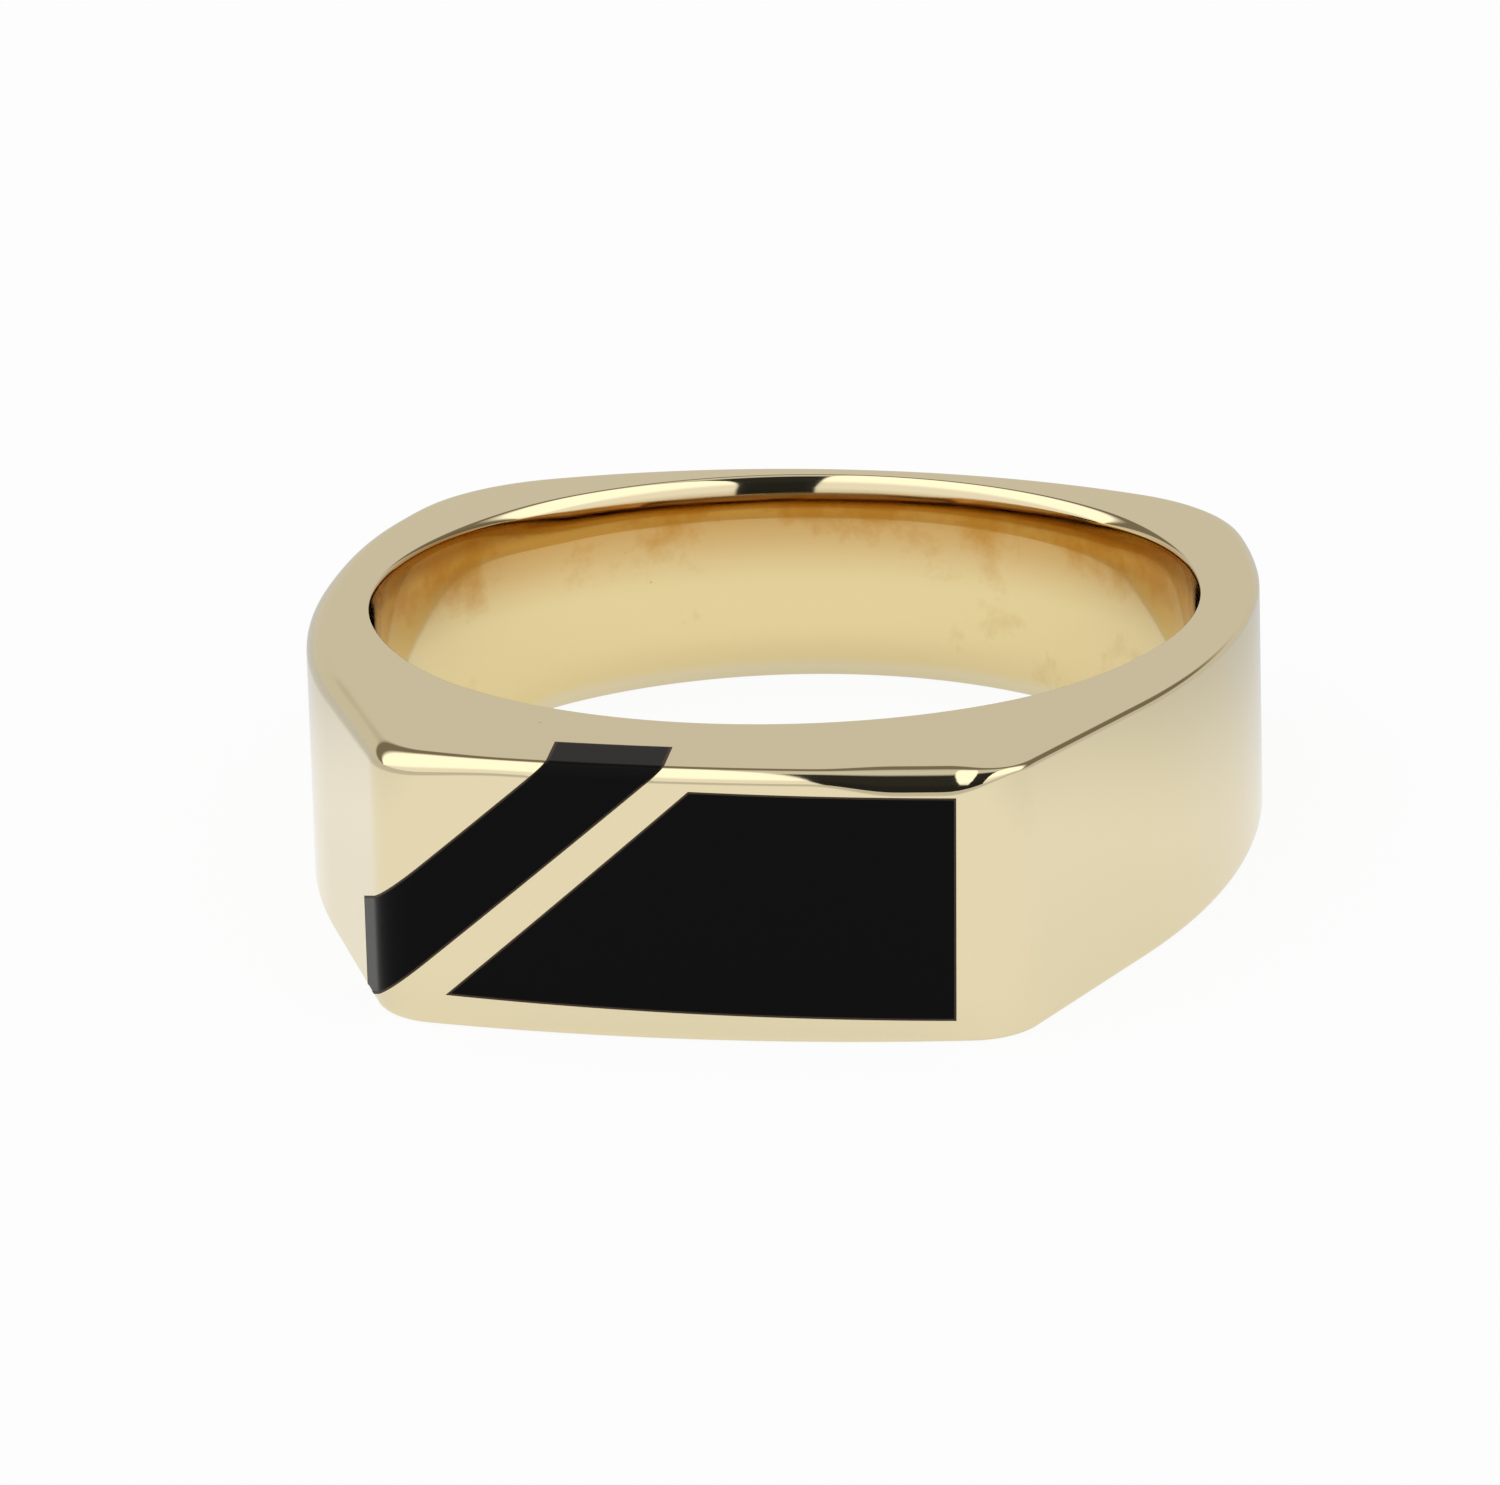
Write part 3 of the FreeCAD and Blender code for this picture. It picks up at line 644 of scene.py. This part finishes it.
# %% [markdown]
# ## Wear inside the finger hole
#
# The hole's wall is worn instead of polished. It keeps a deeper, warmer colour, with a brownish bloom in
# patches. Shade is painted on top of that: the colour grows darker and more orange towards the upper rim,
# where gold reflects gold, and ends in a painted dark shade line under the rim. The wall could be a group of
# faces with a material of its own, but then the two golds would meet in a hard border. Here a mask picks the
# wall out by its distance from the hole's axis, and fades into the rim.

# %% Mask of the hole's wall, and height on it
FADE_START, FADE_END = 0.1, 0.05
hole_parts = add_node(tree, "ShaderNodeSeparateXYZ", {0: place}).outputs
flat_place = add_node(tree, "ShaderNodeCombineXYZ", {0: hole_parts[0], 1: hole_parts[1]}).outputs[0]
from_axis = add_node(tree, "ShaderNodeVectorMath", {0: flat_place}, operation="LENGTH").outputs["Value"]
inside = add_node(
    tree,
    "ShaderNodeMapRange",
    {
        "Value": from_axis,
        "From Min": (BORE_RADIUS + FADE_START) * MM,
        "From Max": (BORE_RADIUS + FADE_END) * MM,
    },
).outputs[0]
height = add_node(
    tree, "ShaderNodeMath", {0: hole_parts[1], 1: taper, 2: hole_parts[2]}, operation="MULTIPLY_ADD"
).outputs[0]
print("the mask fades over, mm:", round(FADE_START - FADE_END, 3))

# %% Bloom in patches, with painted shade growing towards the upper rim
BLOOM_SIZE = 2.2 * MM
BLOOM_START, BLOOM_FULL, BLOOM_SHARE = 0.54, 0.8, 0.6
# The height term is painted shade: it makes the bloom grow towards the upper rim, standing for gold reflected
# in gold there.
UPWARD_SHADE_START, UPWARD_SHADE_END, UPWARD_SHADE_BELOW, UPWARD_SHADE_ABOVE = 0.2 * MM, 2.4 * MM, -0.03, 0.1
bloom = add_node(
    tree, "ShaderNodeTexNoise", {"Vector": place, "Scale": 1 / BLOOM_SIZE, "Detail": 6.0, "Roughness": 0.6}
).outputs[0]
upward_shade = add_node(
    tree,
    "ShaderNodeMapRange",
    {
        "Value": height,
        "From Min": UPWARD_SHADE_START,
        "From Max": UPWARD_SHADE_END,
        "To Min": UPWARD_SHADE_BELOW,
        "To Max": UPWARD_SHADE_ABOVE,
    },
).outputs[0]
bloom_and_upward_shade = add_node(tree, "ShaderNodeMath", {0: bloom, 1: upward_shade}, operation="ADD").outputs[0]
bloom_and_shade_spots = add_node(
    tree,
    "ShaderNodeMapRange",
    {"Value": bloom_and_upward_shade, "From Min": BLOOM_START, "From Max": BLOOM_FULL, "To Max": BLOOM_SHARE},
).outputs[0]
print("size of the bloom's patches, mm:", round(BLOOM_SIZE / MM, 2))

# %% Painted shade towards the upper rim, and a painted shade line under it
# Painted shade: the wall's colour darkens and warms towards the upper rim, by height alone.
UPPER_SHADE_START, UPPER_SHADE_END, UPPER_SHADE_SHARE = 0.1 * MM, 2.0 * MM, 0.75
# Painted shade line: a dark brown band just under the upper rim, by height alone.
SHADE_LINE_START, SHADE_LINE_END, SHADE_LINE_SHARE = 2.0 * MM, 2.5 * MM, 0.7
painted_upper_shade = add_node(
    tree,
    "ShaderNodeMapRange",
    {"Value": height, "From Min": UPPER_SHADE_START, "From Max": UPPER_SHADE_END, "To Max": UPPER_SHADE_SHARE},
    interpolation_type="SMOOTHSTEP",
).outputs[0]
# This share holds the real bloom patches and the painted upper shade together.
bloom_and_shade_share = add_node(tree, "ShaderNodeMath", {0: bloom_and_shade_spots, 1: painted_upper_shade}, operation="ADD").outputs[0]
bloomed_and_shaded_colour = add_node(
    tree, "ShaderNodeMix", {0: bloom_and_shade_share, 6: colour("#E8D59F"), 7: colour("#C8974C")}, data_type="RGBA"
).outputs[2]
painted_shade_line = add_node(
    tree,
    "ShaderNodeMapRange",
    {"Value": height, "From Min": SHADE_LINE_START, "From Max": SHADE_LINE_END, "To Max": SHADE_LINE_SHARE},
    interpolation_type="SMOOTHSTEP",
).outputs[0]
# The wall's colour holds real wear and bloom together with the painted shade and the painted shade line.
worn_and_shaded_colour = add_node(
    tree, "ShaderNodeMix", {0: painted_shade_line, 6: bloomed_and_shaded_colour, 7: colour("#9A6420")}, data_type="RGBA"
).outputs[2]
# The printed heights are those of the painted shade towards the upper rim.
print("height of the stain, mm:", [round(v / MM, 2) for v in (UPPER_SHADE_START, UPPER_SHADE_END)])

# %% Roughness of the worn wall
CLEAN_BLOOM, DENSE_BLOOM = 0.35, 0.75
CLEAN_ROUGHNESS, DENSE_ROUGHNESS = 0.03, 0.12
worn_roughness = add_node(
    tree,
    "ShaderNodeMapRange",
    {
        "Value": bloom,
        "From Min": CLEAN_BLOOM,
        "From Max": DENSE_BLOOM,
        "To Min": CLEAN_ROUGHNESS,
        "To Max": DENSE_ROUGHNESS,
    },
).outputs[0]

# %% Polished outside; worn, with painted shade, inside
POLISHED_ROUGHNESS = 0.05
gold_colour = add_node(
    tree, "ShaderNodeMix", {0: inside, 6: colour("#E6D9B4"), 7: worn_and_shaded_colour}, data_type="RGBA"
).outputs[2]
gold_roughness = add_node(
    tree, "ShaderNodeMix", {0: inside, 2: POLISHED_ROUGHNESS, 3: worn_roughness}, data_type="FLOAT"
).outputs[0]
metal = add_node(
    tree,
    "ShaderNodeBsdfPrincipled",
    {"Base Color": gold_colour, "Metallic": 1.0, "Roughness": gold_roughness, "Normal": pit_bump},
).outputs[0]
add_node(tree, "ShaderNodeOutputMaterial", {"Surface": metal})
print("nodes of the gold:", len(tree.nodes))

# %% [markdown]
# ## Polished black onyx
#
# Onyx is a dense chalcedony, dyed black. It takes a glassy polish, with a refractive index near 1.54. Beside
# such bright gold the stone reads as nearly pure black. With its full reflection it would turn grey under
# the white roof, so that is held low, and it turns a soft grey only where it is seen at a low angle, as on
# the strip's two end faces.

# %% Onyx
onyx, tree = new_material("polished black onyx")
stone = add_node(
    tree,
    "ShaderNodeBsdfPrincipled",
    {"Base Color": colour("#121213"), "Roughness": 0.08, "IOR": 1.54, "Specular IOR Level": 0.014},
).outputs[0]
add_node(tree, "ShaderNodeOutputMaterial", {"Surface": stone})
print("finish of the stones:", onyx.name)

# %% [markdown]
# ## Cement
#
# Stone cement shows only as a hair line round each stone. It is matt and dark brown. A line could be
# painted on the gold, but the solid model already has both beds as pieces, so they only need a material.

# %% Cement
cement, tree = new_material("brown stone cement")
paste = add_node(
    tree,
    "ShaderNodeBsdfPrincipled",
    {"Base Color": colour("#3A2A18"), "Roughness": 0.8, "IOR": 1.5},
).outputs[0]
add_node(tree, "ShaderNodeOutputMaterial", {"Surface": paste})
print("finish of the beds:", cement.name)

# %% [markdown]
# ## Dress the pieces
#
# Each new mesh gets its finish and takes the place of the solid model's node that it stands for. The beds of
# cement keep the solid model's own meshes, which are hidden but for their edges, and only get a material.

# %% Finish of each piece, and its place in the solid model
def finish_piece(piece, material):
    """Give a piece one material, and no other."""
    piece.data.materials.clear()
    piece.data.materials.append(material)


for piece, material, node, slot in (
    (ring, gold, "ring_body", "gold"),
    (strip, onyx, "strip_stone", "onyx"),
    (field, onyx, "field_stone", "onyx"),
):
    finish_piece(piece, material)
    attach(piece, "root")
    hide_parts(node)
for node in ("strip_cement", "field_cement"):
    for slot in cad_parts[node].material_slots:
        slot.material = cement
print("pieces dressed:", ring.name, strip.name, field.name)

# %% [markdown]
# ## Floor
#
# The ring rests on its lower side face, which leans a little because the head is taller than the back. The
# floor follows that face's plane, a hair below it, because two faces in one place flicker.
#
# It is white paper in a lit tent. Most of its white is a glow, so that it stays white to the camera, and the
# rest takes the ring's soft shadow. In the gold's reflections it is brightest in front of the ring and
# dimmer further out. From below it can be seen through, so that the ring's underside is never hidden.

# %% Sheet under the ring
FLOOR_SIZE, FLOOR_GAP = 600.0, 0.01
floor_corners = [
    (x * FLOOR_SIZE * MM, y * FLOOR_SIZE * MM, -(HALF_HEIGHT + FLOOR_GAP - taper * y * FLOOR_SIZE) * MM)
    for x, y in ((-1, -1), (1, -1), (1, 1), (-1, 1))
]
floor_mesh = bpy.data.meshes.new("floor")
floor_mesh.from_pydata(floor_corners, [], [(0, 1, 2, 3)])
floor = bpy.data.objects.new("floor", floor_mesh)
bpy.context.scene.collection.objects.link(floor)
print("floor leans, degrees:", round(math.degrees(SIDE_TAPER), 3))

# %% Share of glow in the white
CAMERA_SHARE, MIRROR_SHARE = 0.93, 0.62
white, tree = new_material("white paper floor")
path = add_node(tree, "ShaderNodeLightPath").outputs
mirrored_ray = add_node(
    tree, "ShaderNodeMath", {0: path["Is Glossy Ray"], 1: path["Is Transmission Ray"]}, operation="MAXIMUM"
).outputs[0]
mirrored_share = add_node(
    tree, "ShaderNodeMath", {0: mirrored_ray, 1: MIRROR_SHARE}, operation="MULTIPLY"
).outputs[0]
glow_share = add_node(
    tree, "ShaderNodeMix", {0: path["Is Camera Ray"], 2: mirrored_share, 3: CAMERA_SHARE}, data_type="FLOAT"
).outputs[0]

# %% Glow that falls off away from the ring
LIT_PLACE = (0.0, -16 * MM, 0.0)
LIT_RADIUS, DIM_RADIUS = 20 * MM, 36 * MM
LIT_GLOW, DIM_GLOW = 1.12, 0.58
floor_place = add_node(tree, "ShaderNodeTexCoord").outputs["Object"]
from_lit_place = add_node(
    tree, "ShaderNodeVectorMath", {0: floor_place, 1: LIT_PLACE}, operation="DISTANCE"
).outputs["Value"]
falling_glow = add_node(
    tree,
    "ShaderNodeMapRange",
    {
        "Value": from_lit_place,
        "From Min": LIT_RADIUS,
        "From Max": DIM_RADIUS,
        "To Min": LIT_GLOW,
        "To Max": DIM_GLOW,
    },
    interpolation_type="SMOOTHSTEP",
).outputs[0]
glow_strength = add_node(
    tree, "ShaderNodeMix", {0: path["Is Camera Ray"], 2: falling_glow, 3: 1.0}, data_type="FLOAT"
).outputs[0]

# %% White paper, seen from above only
paper = add_node(tree, "ShaderNodeBsdfDiffuse", {"Color": colour("#E6E6E6")}).outputs[0]
glow = add_node(
    tree, "ShaderNodeEmission", {"Color": colour("#FFFFFF"), "Strength": glow_strength}
).outputs[0]
lit_paper = add_node(tree, "ShaderNodeMixShader", {0: glow_share, 1: paper, 2: glow}).outputs[0]
from_below = add_node(tree, "ShaderNodeNewGeometry").outputs["Backfacing"]
clear_below = add_node(tree, "ShaderNodeBsdfTransparent").outputs[0]
one_sided = add_node(tree, "ShaderNodeMixShader", {0: from_below, 1: lit_paper, 2: clear_below}).outputs[0]
add_node(tree, "ShaderNodeOutputMaterial", {"Surface": one_sided})
finish_piece(floor, white)
print("nodes of the floor:", len(tree.nodes))

# %% [markdown]
# ## Light
#
# Jewellery is lit inside a white tent, because a polished ring shows everything round it. Lamps would show
# as spots in the gold, so the world stands for the tent, and its brightness depends on direction alone.
# Going up from the horizon behind the ring, over the top and down to the front, it is a pale backdrop, a
# darker grey band above that, a bright soft roof, and a white front.
#
# The lens looks in through a narrow slit in the tent, which leans a little and fades out overhead. It shows
# as the dark patches in the soft edges. The camera itself sees plain white behind the ring.

# %% Brightness of the tent from back to front
TENT_STOPS = ((20, "#D9D5CC"), (27, "#82796C"), (50, "#82796C"), (64, "#FFFFFF"))


def over(degrees):
    """Share of the way over the tent, which is 180 degrees from the back to the front."""
    return degrees / 180


world = bpy.data.worlds.new("white light tent")
bpy.context.scene.world = world
world.use_nodes = True
tree = world.node_tree
tree.nodes.clear()
way = add_node(tree, "ShaderNodeTexCoord").outputs["Generated"]
parts = add_node(tree, "ShaderNodeSeparateXYZ", {0: way}).outputs
climb = add_node(tree, "ShaderNodeMath", {0: parts["Z"], 1: parts["Y"]}, operation="ARCTAN2").outputs[0]
share_over = add_node(tree, "ShaderNodeMath", {0: climb, 1: math.pi}, operation="DIVIDE").outputs[0]
ramp = add_node(tree, "ShaderNodeValToRGB", {0: share_over})
elements = ramp.color_ramp.elements
while len(elements) < len(TENT_STOPS):
    elements.new(0.5)
for element, (degrees, code) in zip(elements, TENT_STOPS):
    element.position = over(degrees)
    element.color = colour(code)
print("stops of the tent, degrees:", [degrees for degrees, code in TENT_STOPS])

# %% Bright roof
ROOF_STRENGTH, ROOF_START, ROOF_FULL = 1.42, 50, 70
FRONT_STRENGTH, FRONT_START, FRONT_FULL = 1.0, 140, 162
roof = add_node(
    tree,
    "ShaderNodeMapRange",
    {
        "Value": share_over,
        "From Min": over(ROOF_START),
        "From Max": over(ROOF_FULL),
        "To Min": 1.0,
        "To Max": ROOF_STRENGTH,
    },
    interpolation_type="SMOOTHSTEP",
).outputs[0]
roof_and_front = add_node(
    tree,
    "ShaderNodeMapRange",
    {
        "Value": share_over,
        "From Min": over(FRONT_START),
        "From Max": over(FRONT_FULL),
        "To Min": roof,
        "To Max": FRONT_STRENGTH,
    },
    interpolation_type="SMOOTHSTEP",
).outputs[0]
print("brightness of roof and front:", ROOF_STRENGTH, "and", FRONT_STRENGTH)

# %% Place of the dark slit
SLIT_START, SLIT_LEAN, SLIT_HALF, SLIT_SOFT = -0.065, 0.27, 0.18, 0.015
slit_middle = add_node(
    tree, "ShaderNodeMath", {0: share_over, 1: SLIT_LEAN, 2: SLIT_START}, operation="MULTIPLY_ADD"
).outputs[0]
off_middle = add_node(
    tree, "ShaderNodeMath", {0: parts["X"], 1: slit_middle}, operation="SUBTRACT"
).outputs[0]
off_slit = add_node(tree, "ShaderNodeMath", {0: off_middle}, operation="ABSOLUTE").outputs[0]
past_slit = add_node(tree, "ShaderNodeMath", {0: off_slit, 1: SLIT_HALF}, operation="SUBTRACT").outputs[0]
beside = add_node(
    tree, "ShaderNodeMapRange", {"Value": past_slit, "From Max": SLIT_SOFT}, interpolation_type="SMOOTHSTEP"
).outputs[0]

# %% Fade of the slit overhead
OVERHEAD_SHARE, OVERHEAD_START, OVERHEAD_FULL = 0.5, 101, 86
SLIT_FADE, SLIT_END = 66, 50
SLIT_LEVEL = 0.02
overhead = add_node(
    tree,
    "ShaderNodeMapRange",
    {
        "Value": share_over,
        "From Min": over(OVERHEAD_START),
        "From Max": over(OVERHEAD_FULL),
        "To Max": OVERHEAD_SHARE,
    },
    interpolation_type="SMOOTHSTEP",
).outputs[0]
past_slit_end = add_node(
    tree,
    "ShaderNodeMapRange",
    {
        "Value": share_over,
        "From Min": over(SLIT_FADE),
        "From Max": over(SLIT_END),
        "To Min": overhead,
        "To Max": 1.0,
    },
    interpolation_type="SMOOTHSTEP",
).outputs[0]
clear = add_node(tree, "ShaderNodeMath", {0: beside, 1: past_slit_end}, operation="MAXIMUM").outputs[0]
slit_shade = add_node(tree, "ShaderNodeMapRange", {"Value": clear, "To Min": SLIT_LEVEL}).outputs[0]
tent = add_node(tree, "ShaderNodeMath", {0: roof_and_front, 1: slit_shade}, operation="MULTIPLY").outputs[0]

# %% White for the camera
path = add_node(tree, "ShaderNodeLightPath").outputs
inside_tent = add_node(
    tree, "ShaderNodeBackground", {"Color": ramp.outputs["Color"], "Strength": tent}
).outputs[0]
white_wall = add_node(
    tree, "ShaderNodeBackground", {"Color": colour("#FFFFFF"), "Strength": 1.0}
).outputs[0]
seen_world = add_node(
    tree, "ShaderNodeMixShader", {0: path["Is Camera Ray"], 1: inside_tent, 2: white_wall}
).outputs[0]
add_node(tree, "ShaderNodeOutputWorld", {"Surface": seen_world})
print("nodes of the tent:", len(tree.nodes))

# %% [markdown]
# ## Camera
#
# The camera looks down on the ring from a little to the right, through a long lens, so that the sides hardly
# converge. It could be aimed by eye. Here its direction and lens come from a fit to a photograph of such a
# ring, so that every edge falls where it does there.

# %% Long lens
AZIMUTH, ELEVATION, ROLL = math.radians(9.857), math.radians(19.389), math.radians(-1.606)
DISTANCE, AIM_RIGHT, AIM_UP = 300.0, -0.925, -0.806
FRAME_WIDTH, FOCAL_PIXELS, SENSOR_WIDTH = 1500, 12444.9, 36.0

back = Vector(
    (math.sin(AZIMUTH) * math.cos(ELEVATION), -math.cos(AZIMUTH) * math.cos(ELEVATION), math.sin(ELEVATION))
)
right = Vector((math.cos(AZIMUTH), math.sin(AZIMUTH), 0))
up = back.cross(right)
turned_right = right * math.cos(ROLL) + up * math.sin(ROLL)
turned_up = up * math.cos(ROLL) - right * math.sin(ROLL)
stand = (right * AIM_RIGHT + Vector((0, 0, AIM_UP)) + back * DISTANCE) * MM
camera_data = bpy.data.cameras.new("camera")
camera_data.sensor_width = SENSOR_WIDTH
camera_data.lens = FOCAL_PIXELS / FRAME_WIDTH * SENSOR_WIDTH
camera_data.clip_start, camera_data.clip_end = 0.01, 10.0
camera = bpy.data.objects.new("camera", camera_data)
bpy.context.scene.collection.objects.link(camera)
turn = Matrix((turned_right, turned_up, back)).transposed()
camera.matrix_world = Matrix.Translation(stand) @ turn.to_4x4()
bpy.context.scene.camera = camera
bpy.context.scene.view_settings.view_transform = "Standard"
print("camera stands at, mm:", [round(v / MM, 1) for v in stand])
